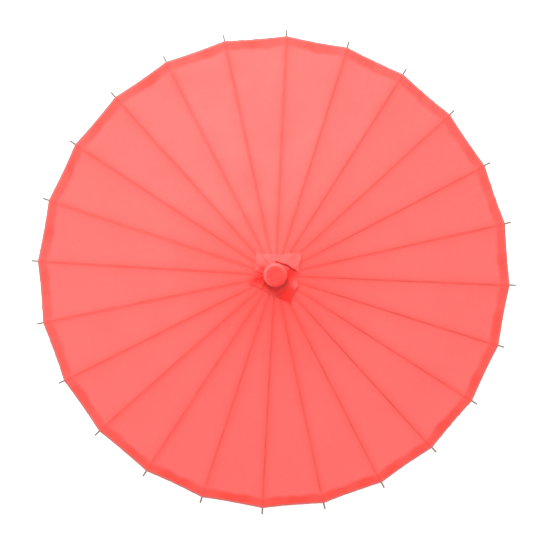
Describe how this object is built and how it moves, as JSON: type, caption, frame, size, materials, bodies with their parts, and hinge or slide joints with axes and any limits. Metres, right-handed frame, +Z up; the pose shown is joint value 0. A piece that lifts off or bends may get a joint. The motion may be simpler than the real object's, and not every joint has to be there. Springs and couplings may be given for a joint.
{
  "type": "oil paper umbrella",
  "caption": "Open paper parasol: flat-panelled canopy on hinged bamboo ribs with short braces, a sliding runner, a spring catch and a slim straight pole.",
  "frame": {"origin": "centre of the flat lower end of the pole", "axes": "+Z up the pole to the knob, +Y along long rib 1 seen from above"},
  "size_m": [0.8662, 0.8662, 0.5491],
  "materials": {
    "pole_wood": "smooth turned light wood, thin varnish",
    "hub_wood": "turned and saw-cut wood",
    "bamboo_pin": "split bamboo peg",
    "steel_wire": "plain drawn wire",
    "spring_steel": "pressed spring strip",
    "thread": "twisted cotton thread",
    "rib_bamboo": "split bamboo, skin side up",
    "brace_bamboo": "split bamboo",
    "oiled_paper": "coral red oiled mulberry paper, translucent, satin",
    "cap_paper": "coral red paper, crumpled"
  },
  "bodies": {
    "root": {"pole": "pole_wood", "top_hub": "hub_wood", "hub_pin": "bamboo_pin", "top_hub_thread": "thread", "catch_pin": "steel_wire", "canopy_paper": "oiled_paper", "cap_cover": "cap_paper", "cap_tie_thread": "thread"},
    "runner": {"runner": "hub_wood", "runner_thread": "thread"},
    "spring_catch": {"spring_catch": "spring_steel"},
    "rib_01": {"long_rib_01": "rib_bamboo"},
    "brace_01": {"short_rib_01": "brace_bamboo"},
    "rib_02": {"long_rib_02": "rib_bamboo"},
    "brace_02": {"short_rib_02": "brace_bamboo"},
    "rib_03": {"long_rib_03": "rib_bamboo"},
    "brace_03": {"short_rib_03": "brace_bamboo"},
    "rib_04": {"long_rib_04": "rib_bamboo"},
    "brace_04": {"short_rib_04": "brace_bamboo"},
    "rib_05": {"long_rib_05": "rib_bamboo"},
    "brace_05": {"short_rib_05": "brace_bamboo"},
    "rib_06": {"long_rib_06": "rib_bamboo"},
    "brace_06": {"short_rib_06": "brace_bamboo"},
    "rib_07": {"long_rib_07": "rib_bamboo"},
    "brace_07": {"short_rib_07": "brace_bamboo"},
    "rib_08": {"long_rib_08": "rib_bamboo"},
    "brace_08": {"short_rib_08": "brace_bamboo"},
    "rib_09": {"long_rib_09": "rib_bamboo"},
    "brace_09": {"short_rib_09": "brace_bamboo"},
    "rib_10": {"long_rib_10": "rib_bamboo"},
    "brace_10": {"short_rib_10": "brace_bamboo"},
    "rib_11": {"long_rib_11": "rib_bamboo"},
    "brace_11": {"short_rib_11": "brace_bamboo"},
    "rib_12": {"long_rib_12": "rib_bamboo"},
    "brace_12": {"short_rib_12": "brace_bamboo"},
    "rib_13": {"long_rib_13": "rib_bamboo"},
    "brace_13": {"short_rib_13": "brace_bamboo"},
    "rib_14": {"long_rib_14": "rib_bamboo"},
    "brace_14": {"short_rib_14": "brace_bamboo"},
    "rib_15": {"long_rib_15": "rib_bamboo"},
    "brace_15": {"short_rib_15": "brace_bamboo"},
    "rib_16": {"long_rib_16": "rib_bamboo"},
    "brace_16": {"short_rib_16": "brace_bamboo"},
    "rib_17": {"long_rib_17": "rib_bamboo"},
    "brace_17": {"short_rib_17": "brace_bamboo"},
    "rib_18": {"long_rib_18": "rib_bamboo"},
    "brace_18": {"short_rib_18": "brace_bamboo"},
    "rib_19": {"long_rib_19": "rib_bamboo"},
    "brace_19": {"short_rib_19": "brace_bamboo"},
    "rib_20": {"long_rib_20": "rib_bamboo"},
    "brace_20": {"short_rib_20": "brace_bamboo"},
    "rib_21": {"long_rib_21": "rib_bamboo"},
    "brace_21": {"short_rib_21": "brace_bamboo"},
    "rib_22": {"long_rib_22": "rib_bamboo"},
    "brace_22": {"short_rib_22": "brace_bamboo"},
    "rib_23": {"long_rib_23": "rib_bamboo"},
    "brace_23": {"short_rib_23": "brace_bamboo"},
    "rib_24": {"long_rib_24": "rib_bamboo"},
    "brace_24": {"short_rib_24": "brace_bamboo"}
  },
  "joints": [
    {"name": "runner_slide", "type": "slide", "parent": "root", "child": "runner", "axis": [0, 0, -1], "range_m": [0, 0.24967], "deforming": ["canopy_paper", "spring_catch"]},
    {"name": "catch_press", "type": "hinge", "parent": "root", "child": "spring_catch", "pos_m": [0, 0, 0.30194], "axis": [0, -1, 0], "range_deg": [0, 6], "stiffness_Nm_per_rad": 0.5, "springref_deg": -2.86},
    {"name": "rib_01_fold", "type": "hinge", "parent": "root", "child": "rib_01", "pos_m": [0, 0.015, 0.52], "axis": [-1, 0, 0], "range_deg": [0, 65.92]},
    {"name": "brace_01_fold", "type": "hinge", "parent": "rib_01", "child": "brace_01", "pos_m": [0, 0.19705, 0.45012], "axis": [1, 0, 0], "range_deg": [0, 131.84]},
    {"name": "rib_02_fold", "type": "hinge", "parent": "root", "child": "rib_02", "pos_m": [0.00388, 0.01449, 0.52], "axis": [-0.9659, 0.2588, 0], "range_deg": [0, 65.92]},
    {"name": "brace_02_fold", "type": "hinge", "parent": "rib_02", "child": "brace_02", "pos_m": [0.051, 0.19033, 0.45012], "axis": [0.9659, -0.2588, 0], "range_deg": [0, 131.84]},
    {"name": "rib_03_fold", "type": "hinge", "parent": "root", "child": "rib_03", "pos_m": [0.0075, 0.01299, 0.52], "axis": [-0.866, 0.5, 0], "range_deg": [0, 65.92]},
    {"name": "brace_03_fold", "type": "hinge", "parent": "rib_03", "child": "brace_03", "pos_m": [0.09852, 0.17065, 0.45012], "axis": [0.866, -0.5, 0], "range_deg": [0, 131.84]},
    {"name": "rib_04_fold", "type": "hinge", "parent": "root", "child": "rib_04", "pos_m": [0.01061, 0.01061, 0.52], "axis": [-0.7071, 0.7071, 0], "range_deg": [0, 65.92]},
    {"name": "brace_04_fold", "type": "hinge", "parent": "rib_04", "child": "brace_04", "pos_m": [0.13933, 0.13933, 0.45012], "axis": [0.7071, -0.7071, 0], "range_deg": [0, 131.84]},
    {"name": "rib_05_fold", "type": "hinge", "parent": "root", "child": "rib_05", "pos_m": [0.01299, 0.0075, 0.52], "axis": [-0.5, 0.866, 0], "range_deg": [0, 65.92]},
    {"name": "brace_05_fold", "type": "hinge", "parent": "rib_05", "child": "brace_05", "pos_m": [0.17065, 0.09852, 0.45012], "axis": [0.5, -0.866, 0], "range_deg": [0, 131.84]},
    {"name": "rib_06_fold", "type": "hinge", "parent": "root", "child": "rib_06", "pos_m": [0.01449, 0.00388, 0.52], "axis": [-0.2588, 0.9659, 0], "range_deg": [0, 65.92]},
    {"name": "brace_06_fold", "type": "hinge", "parent": "rib_06", "child": "brace_06", "pos_m": [0.19033, 0.051, 0.45012], "axis": [0.2588, -0.9659, 0], "range_deg": [0, 131.84]},
    {"name": "rib_07_fold", "type": "hinge", "parent": "root", "child": "rib_07", "pos_m": [0.015, 0, 0.52], "axis": [0, 1, 0], "range_deg": [0, 65.92]},
    {"name": "brace_07_fold", "type": "hinge", "parent": "rib_07", "child": "brace_07", "pos_m": [0.19705, 0, 0.45012], "axis": [0, -1, 0], "range_deg": [0, 131.84]},
    {"name": "rib_08_fold", "type": "hinge", "parent": "root", "child": "rib_08", "pos_m": [0.01449, -0.00388, 0.52], "axis": [0.2588, 0.9659, 0], "range_deg": [0, 65.92]},
    {"name": "brace_08_fold", "type": "hinge", "parent": "rib_08", "child": "brace_08", "pos_m": [0.19033, -0.051, 0.45012], "axis": [-0.2588, -0.9659, 0], "range_deg": [0, 131.84]},
    {"name": "rib_09_fold", "type": "hinge", "parent": "root", "child": "rib_09", "pos_m": [0.01299, -0.0075, 0.52], "axis": [0.5, 0.866, 0], "range_deg": [0, 65.92]},
    {"name": "brace_09_fold", "type": "hinge", "parent": "rib_09", "child": "brace_09", "pos_m": [0.17065, -0.09852, 0.45012], "axis": [-0.5, -0.866, 0], "range_deg": [0, 131.84]},
    {"name": "rib_10_fold", "type": "hinge", "parent": "root", "child": "rib_10", "pos_m": [0.01061, -0.01061, 0.52], "axis": [0.7071, 0.7071, 0], "range_deg": [0, 65.92]},
    {"name": "brace_10_fold", "type": "hinge", "parent": "rib_10", "child": "brace_10", "pos_m": [0.13933, -0.13933, 0.45012], "axis": [-0.7071, -0.7071, 0], "range_deg": [0, 131.84]},
    {"name": "rib_11_fold", "type": "hinge", "parent": "root", "child": "rib_11", "pos_m": [0.0075, -0.01299, 0.52], "axis": [0.866, 0.5, 0], "range_deg": [0, 65.92]},
    {"name": "brace_11_fold", "type": "hinge", "parent": "rib_11", "child": "brace_11", "pos_m": [0.09852, -0.17065, 0.45012], "axis": [-0.866, -0.5, 0], "range_deg": [0, 131.84]},
    {"name": "rib_12_fold", "type": "hinge", "parent": "root", "child": "rib_12", "pos_m": [0.00388, -0.01449, 0.52], "axis": [0.9659, 0.2588, 0], "range_deg": [0, 65.92]},
    {"name": "brace_12_fold", "type": "hinge", "parent": "rib_12", "child": "brace_12", "pos_m": [0.051, -0.19033, 0.45012], "axis": [-0.9659, -0.2588, 0], "range_deg": [0, 131.84]},
    {"name": "rib_13_fold", "type": "hinge", "parent": "root", "child": "rib_13", "pos_m": [0, -0.015, 0.52], "axis": [1, 0, 0], "range_deg": [0, 65.92]},
    {"name": "brace_13_fold", "type": "hinge", "parent": "rib_13", "child": "brace_13", "pos_m": [0, -0.19705, 0.45012], "axis": [-1, 0, 0], "range_deg": [0, 131.84]},
    {"name": "rib_14_fold", "type": "hinge", "parent": "root", "child": "rib_14", "pos_m": [-0.00388, -0.01449, 0.52], "axis": [0.9659, -0.2588, 0], "range_deg": [0, 65.92]},
    {"name": "brace_14_fold", "type": "hinge", "parent": "rib_14", "child": "brace_14", "pos_m": [-0.051, -0.19033, 0.45012], "axis": [-0.9659, 0.2588, 0], "range_deg": [0, 131.84]},
    {"name": "rib_15_fold", "type": "hinge", "parent": "root", "child": "rib_15", "pos_m": [-0.0075, -0.01299, 0.52], "axis": [0.866, -0.5, 0], "range_deg": [0, 65.92]},
    {"name": "brace_15_fold", "type": "hinge", "parent": "rib_15", "child": "brace_15", "pos_m": [-0.09852, -0.17065, 0.45012], "axis": [-0.866, 0.5, 0], "range_deg": [0, 131.84]},
    {"name": "rib_16_fold", "type": "hinge", "parent": "root", "child": "rib_16", "pos_m": [-0.01061, -0.01061, 0.52], "axis": [0.7071, -0.7071, 0], "range_deg": [0, 65.92]},
    {"name": "brace_16_fold", "type": "hinge", "parent": "rib_16", "child": "brace_16", "pos_m": [-0.13933, -0.13933, 0.45012], "axis": [-0.7071, 0.7071, 0], "range_deg": [0, 131.84]},
    {"name": "rib_17_fold", "type": "hinge", "parent": "root", "child": "rib_17", "pos_m": [-0.01299, -0.0075, 0.52], "axis": [0.5, -0.866, 0], "range_deg": [0, 65.92]},
    {"name": "brace_17_fold", "type": "hinge", "parent": "rib_17", "child": "brace_17", "pos_m": [-0.17065, -0.09852, 0.45012], "axis": [-0.5, 0.866, 0], "range_deg": [0, 131.84]},
    {"name": "rib_18_fold", "type": "hinge", "parent": "root", "child": "rib_18", "pos_m": [-0.01449, -0.00388, 0.52], "axis": [0.2588, -0.9659, 0], "range_deg": [0, 65.92]},
    {"name": "brace_18_fold", "type": "hinge", "parent": "rib_18", "child": "brace_18", "pos_m": [-0.19033, -0.051, 0.45012], "axis": [-0.2588, 0.9659, 0], "range_deg": [0, 131.84]},
    {"name": "rib_19_fold", "type": "hinge", "parent": "root", "child": "rib_19", "pos_m": [-0.015, 0, 0.52], "axis": [0, -1, 0], "range_deg": [0, 65.92]},
    {"name": "brace_19_fold", "type": "hinge", "parent": "rib_19", "child": "brace_19", "pos_m": [-0.19705, 0, 0.45012], "axis": [0, 1, 0], "range_deg": [0, 131.84]},
    {"name": "rib_20_fold", "type": "hinge", "parent": "root", "child": "rib_20", "pos_m": [-0.01449, 0.00388, 0.52], "axis": [-0.2588, -0.9659, 0], "range_deg": [0, 65.92]},
    {"name": "brace_20_fold", "type": "hinge", "parent": "rib_20", "child": "brace_20", "pos_m": [-0.19033, 0.051, 0.45012], "axis": [0.2588, 0.9659, 0], "range_deg": [0, 131.84]},
    {"name": "rib_21_fold", "type": "hinge", "parent": "root", "child": "rib_21", "pos_m": [-0.01299, 0.0075, 0.52], "axis": [-0.5, -0.866, 0], "range_deg": [0, 65.92]},
    {"name": "brace_21_fold", "type": "hinge", "parent": "rib_21", "child": "brace_21", "pos_m": [-0.17065, 0.09852, 0.45012], "axis": [0.5, 0.866, 0], "range_deg": [0, 131.84]},
    {"name": "rib_22_fold", "type": "hinge", "parent": "root", "child": "rib_22", "pos_m": [-0.01061, 0.01061, 0.52], "axis": [-0.7071, -0.7071, 0], "range_deg": [0, 65.92]},
    {"name": "brace_22_fold", "type": "hinge", "parent": "rib_22", "child": "brace_22", "pos_m": [-0.13933, 0.13933, 0.45012], "axis": [0.7071, 0.7071, 0], "range_deg": [0, 131.84]},
    {"name": "rib_23_fold", "type": "hinge", "parent": "root", "child": "rib_23", "pos_m": [-0.0075, 0.01299, 0.52], "axis": [-0.866, -0.5, 0], "range_deg": [0, 65.92]},
    {"name": "brace_23_fold", "type": "hinge", "parent": "rib_23", "child": "brace_23", "pos_m": [-0.09852, 0.17065, 0.45012], "axis": [0.866, 0.5, 0], "range_deg": [0, 131.84]},
    {"name": "rib_24_fold", "type": "hinge", "parent": "root", "child": "rib_24", "pos_m": [-0.00388, 0.01449, 0.52], "axis": [-0.9659, -0.2588, 0], "range_deg": [0, 65.92]},
    {"name": "brace_24_fold", "type": "hinge", "parent": "rib_24", "child": "brace_24", "pos_m": [-0.051, 0.19033, 0.45012], "axis": [0.9659, 0.2588, 0], "range_deg": [0, 131.84]}
  ],
  "couplings": [
    {"joint": "rib_01_fold", "follows": "runner_slide", "rad_per_m": 4.6068},
    {"joint": "brace_01_fold", "follows": "runner_slide", "rad_per_m": 9.2137},
    {"joint": "rib_02_fold", "follows": "runner_slide", "rad_per_m": 4.6068},
    {"joint": "brace_02_fold", "follows": "runner_slide", "rad_per_m": 9.2137},
    {"joint": "rib_03_fold", "follows": "runner_slide", "rad_per_m": 4.6068},
    {"joint": "brace_03_fold", "follows": "runner_slide", "rad_per_m": 9.2137},
    {"joint": "rib_04_fold", "follows": "runner_slide", "rad_per_m": 4.6068},
    {"joint": "brace_04_fold", "follows": "runner_slide", "rad_per_m": 9.2137},
    {"joint": "rib_05_fold", "follows": "runner_slide", "rad_per_m": 4.6068},
    {"joint": "brace_05_fold", "follows": "runner_slide", "rad_per_m": 9.2137},
    {"joint": "rib_06_fold", "follows": "runner_slide", "rad_per_m": 4.6068},
    {"joint": "brace_06_fold", "follows": "runner_slide", "rad_per_m": 9.2137},
    {"joint": "rib_07_fold", "follows": "runner_slide", "rad_per_m": 4.6068},
    {"joint": "brace_07_fold", "follows": "runner_slide", "rad_per_m": 9.2137},
    {"joint": "rib_08_fold", "follows": "runner_slide", "rad_per_m": 4.6068},
    {"joint": "brace_08_fold", "follows": "runner_slide", "rad_per_m": 9.2137},
    {"joint": "rib_09_fold", "follows": "runner_slide", "rad_per_m": 4.6068},
    {"joint": "brace_09_fold", "follows": "runner_slide", "rad_per_m": 9.2137},
    {"joint": "rib_10_fold", "follows": "runner_slide", "rad_per_m": 4.6068},
    {"joint": "brace_10_fold", "follows": "runner_slide", "rad_per_m": 9.2137},
    {"joint": "rib_11_fold", "follows": "runner_slide", "rad_per_m": 4.6068},
    {"joint": "brace_11_fold", "follows": "runner_slide", "rad_per_m": 9.2137},
    {"joint": "rib_12_fold", "follows": "runner_slide", "rad_per_m": 4.6068},
    {"joint": "brace_12_fold", "follows": "runner_slide", "rad_per_m": 9.2137},
    {"joint": "rib_13_fold", "follows": "runner_slide", "rad_per_m": 4.6068},
    {"joint": "brace_13_fold", "follows": "runner_slide", "rad_per_m": 9.2137},
    {"joint": "rib_14_fold", "follows": "runner_slide", "rad_per_m": 4.6068},
    {"joint": "brace_14_fold", "follows": "runner_slide", "rad_per_m": 9.2137},
    {"joint": "rib_15_fold", "follows": "runner_slide", "rad_per_m": 4.6068},
    {"joint": "brace_15_fold", "follows": "runner_slide", "rad_per_m": 9.2137},
    {"joint": "rib_16_fold", "follows": "runner_slide", "rad_per_m": 4.6068},
    {"joint": "brace_16_fold", "follows": "runner_slide", "rad_per_m": 9.2137},
    {"joint": "rib_17_fold", "follows": "runner_slide", "rad_per_m": 4.6068},
    {"joint": "brace_17_fold", "follows": "runner_slide", "rad_per_m": 9.2137},
    {"joint": "rib_18_fold", "follows": "runner_slide", "rad_per_m": 4.6068},
    {"joint": "brace_18_fold", "follows": "runner_slide", "rad_per_m": 9.2137},
    {"joint": "rib_19_fold", "follows": "runner_slide", "rad_per_m": 4.6068},
    {"joint": "brace_19_fold", "follows": "runner_slide", "rad_per_m": 9.2137},
    {"joint": "rib_20_fold", "follows": "runner_slide", "rad_per_m": 4.6068},
    {"joint": "brace_20_fold", "follows": "runner_slide", "rad_per_m": 9.2137},
    {"joint": "rib_21_fold", "follows": "runner_slide", "rad_per_m": 4.6068},
    {"joint": "brace_21_fold", "follows": "runner_slide", "rad_per_m": 9.2137},
    {"joint": "rib_22_fold", "follows": "runner_slide", "rad_per_m": 4.6068},
    {"joint": "brace_22_fold", "follows": "runner_slide", "rad_per_m": 9.2137},
    {"joint": "rib_23_fold", "follows": "runner_slide", "rad_per_m": 4.6068},
    {"joint": "brace_23_fold", "follows": "runner_slide", "rad_per_m": 9.2137},
    {"joint": "rib_24_fold", "follows": "runner_slide", "rad_per_m": 4.6068},
    {"joint": "brace_24_fold", "follows": "runner_slide", "rad_per_m": 9.2137}
  ]
}
